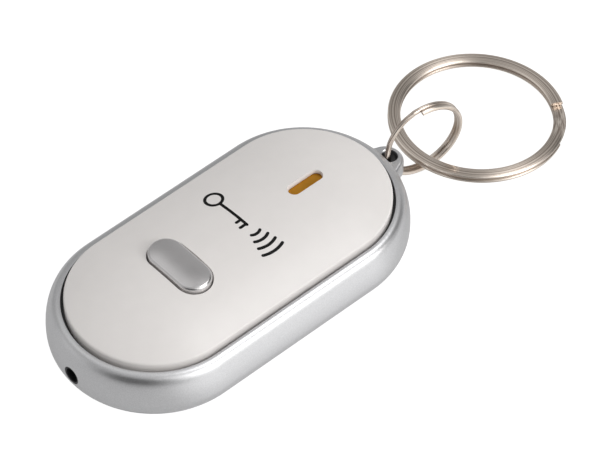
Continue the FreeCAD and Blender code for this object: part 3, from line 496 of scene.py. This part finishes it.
def add_stroke(mesh, points, tree):
    """Closed thin solid of one stroke, laid on the surface below it."""
    outline = ribbon(points, MARK_STROKE)
    loops = []
    for lift in (-MARK_HALF_THICK, MARK_HALF_THICK):
        rows = {}
        for part, spots in outline.items():
            places = [(p.y, p.x, surface_height(tree, p.y, p.x) + lift) for p in spots]
            rows[part] = [mesh.verts.new(place) for place in places]
        left, right, end, begin = rows["left"], rows["right"], rows["end"], rows["begin"]
        for k in range(len(left) - 1):
            mesh.faces.new((left[k], left[k + 1], right[k + 1], right[k]))
        mesh.faces.new([left[-1]] + end + [right[-1]])
        mesh.faces.new([right[0]] + begin + [left[0]])
        loops.append(left + end + right[::-1] + begin)
    low, top = loops
    for k in range(len(low)):
        n = (k + 1) % len(low)
        mesh.faces.new((low[k], low[n], top[n], top[k]))
    bmesh.ops.recalc_face_normals(mesh, faces=mesh.faces)


def mark_strokes():
    """Centre lines of the mark: a key whose bow is at the far side, then sound waves off its end."""
    bow = Vector((BOW_U, MARK_V))
    strokes = [
        arc(bow, BOW_R, 0, 360, BOW_STEPS),
        straight(bow - Vector((BOW_R, 0)), Vector((SHAFT_END_U, MARK_V))),
    ]
    for u, depth in TEETH:
        strokes.append(straight(Vector((u, MARK_V)), Vector((u, MARK_V - depth)), TOOTH_STEPS))
    source = Vector((WAVE_SOURCE_U, MARK_V))
    for radius, sweep in WAVES:
        strokes.append(arc(source, radius, 180 - sweep, 180 + sweep))
    return strokes


def printed_mark():
    """Line pictogram of a key and sound waves, printed on the cover in one thin layer."""
    cover = frame["nodes"]["top_cover"].data
    corners = [vertex.co for vertex in cover.vertices]
    tree = BVHTree.FromPolygons(corners, [polygon.vertices for polygon in cover.polygons])
    mesh = bmesh.new()
    for stroke in mark_strokes():
        add_stroke(mesh, stroke, tree)
    mark = new_object("printed_mark", mesh)
    mark.data.materials.append(MATERIALS["mark_ink"])
    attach(mark, "case")


# ---------------------------------------------------------------- snap disc and studio

def snap_disc():
    """The switch's snap disc again, as a separate piece with its own mesh."""
    dome = frame["nodes"]["switch_dome"]
    disc = bpy.data.objects.new("snap_disc", dome.data.copy())
    bpy.context.scene.collection.objects.link(disc)
    bpy.context.view_layer.update()
    disc.matrix_world = dome.matrix_world
    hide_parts("switch_dome")
    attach(disc, "case")
    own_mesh(disc)


def floor_material():
    """Pale matt floor that also glows, seen from above only."""
    material, tree, shader = principled("floor_white")
    tone = ramp(tree, noise(tree, object_coords(tree), FLOOR_CLOUDS), FLOOR_TONES)
    tree.links.new(tone, shader.inputs["Base Color"])
    shader.inputs["Roughness"].default_value = FLOOR_ROUGHNESS
    shader.inputs["Specular IOR Level"].default_value = 0.0
    shader.inputs["Emission Color"].default_value = WHITE
    geometry = tree.nodes.new("ShaderNodeNewGeometry")
    leaving = geometry.outputs["Incoming"]
    sideways = facing(tree, leaving, FLOOR_BRIGHT_SIDE)
    glow = soft_step(tree, sideways, *FLOOR_BRIGHT_RANGE, FLOOR_GLOW_DIM, FLOOR_GLOW)
    glow = math_node(tree, "ADD", glow, soft_patch(tree, leaving, *FLOOR_DARK_PATCH))
    tree.links.new(camera_sees(tree, glow, FLOOR_GLOW_SEEN), shader.inputs["Emission Strength"])
    one_sided = tree.nodes.new("ShaderNodeMixShader")
    clear = tree.nodes.new("ShaderNodeBsdfTransparent")
    tree.links.new(geometry.outputs["Backfacing"], one_sided.inputs["Fac"])
    tree.links.new(shader.outputs["BSDF"], one_sided.inputs[1])
    tree.links.new(clear.outputs["BSDF"], one_sided.inputs[2])
    tree.links.new(one_sided.outputs["Shader"], tree.nodes["Material Output"].inputs["Surface"])
    return material


def make_floor():
    """Wide seamless floor, just clear of the case's back."""
    mesh = bmesh.new()
    bmesh.ops.create_grid(mesh, x_segments=2, y_segments=2, size=FLOOR_REACH)
    floor = new_object("floor", mesh)
    floor.location.z = -FLOOR_CLEARANCE
    floor.data.materials.append(floor_material())


def area_light(name, place, target, size, power, colour):
    """Soft rectangular light aimed at a point."""
    data = bpy.data.lights.new(name, "AREA")
    data.shape = "RECTANGLE"
    data.size, data.size_y = size
    data.energy = power
    data.color = colour
    light = bpy.data.objects.new(name, data)
    bpy.context.scene.collection.objects.link(light)
    light.location = place
    aim = Vector(target) - Vector(place)
    light.rotation_euler = aim.to_track_quat("-Z", "Y").to_euler()


def make_world():
    """Studio surround: a vertical gradient with soft bright and dark patches."""
    world = bpy.data.worlds.new("studio")
    bpy.context.scene.world = world
    world.use_nodes = True
    tree = world.node_tree
    background = tree.nodes["Background"]
    coords = tree.nodes.new("ShaderNodeTexCoord").outputs["Generated"]
    value = soft_step(tree, facing(tree, coords, UP), 0.0, 1.0, HORIZON_LIGHT, ZENITH_LIGHT)
    for patch in PATCHES:
        value = math_node(tree, "ADD", value, soft_patch(tree, coords, *patch))
    value = math_node(tree, "MAXIMUM", value, 0.0)
    background.inputs["Color"].default_value = WHITE
    tree.links.new(camera_sees(tree, value, BACKDROP_SEEN), background.inputs["Strength"])


def view_axes():
    """Unit vectors of the view: towards the camera, right, up."""
    reach = math.cos(VIEW_ELEVATION)
    back = Vector((math.sin(VIEW_AZIMUTH) * reach, -math.cos(VIEW_AZIMUTH) * reach,
                   math.sin(VIEW_ELEVATION)))
    level = Vector((math.cos(VIEW_AZIMUTH), math.sin(VIEW_AZIMUTH), 0))
    rise = back.cross(level)
    right = math.cos(VIEW_ROLL) * level + math.sin(VIEW_ROLL) * rise
    up = math.cos(VIEW_ROLL) * rise - math.sin(VIEW_ROLL) * level
    return back, right, up


def make_camera():
    """Long-lens camera at the viewing angle."""
    back, right, up = view_axes()
    ahead = (AIM_RIGHT * right + AIM_UP * up - back).normalized()
    side = (right - right.dot(ahead) * ahead).normalized()
    top = side.cross(ahead)
    data = bpy.data.cameras.new("camera")
    data.lens = LENS_MM
    data.sensor_width = SENSOR_MM
    data.clip_start = CLIP_START
    camera = bpy.data.objects.new("camera", data)
    bpy.context.scene.collection.objects.link(camera)
    place = back * VIEW_DISTANCE + UP * AIM_HEIGHT
    turn = Matrix((side, top, -ahead)).transposed().to_4x4()
    camera.matrix_world = Matrix.Translation(place) @ turn
    bpy.context.scene.camera = camera


dress_cad_nodes()
printed_mark()
snap_disc()
make_floor()
for light in LIGHTS:
    area_light(*light)
make_world()
make_camera()
bpy.context.scene.view_settings.view_transform = "Standard"
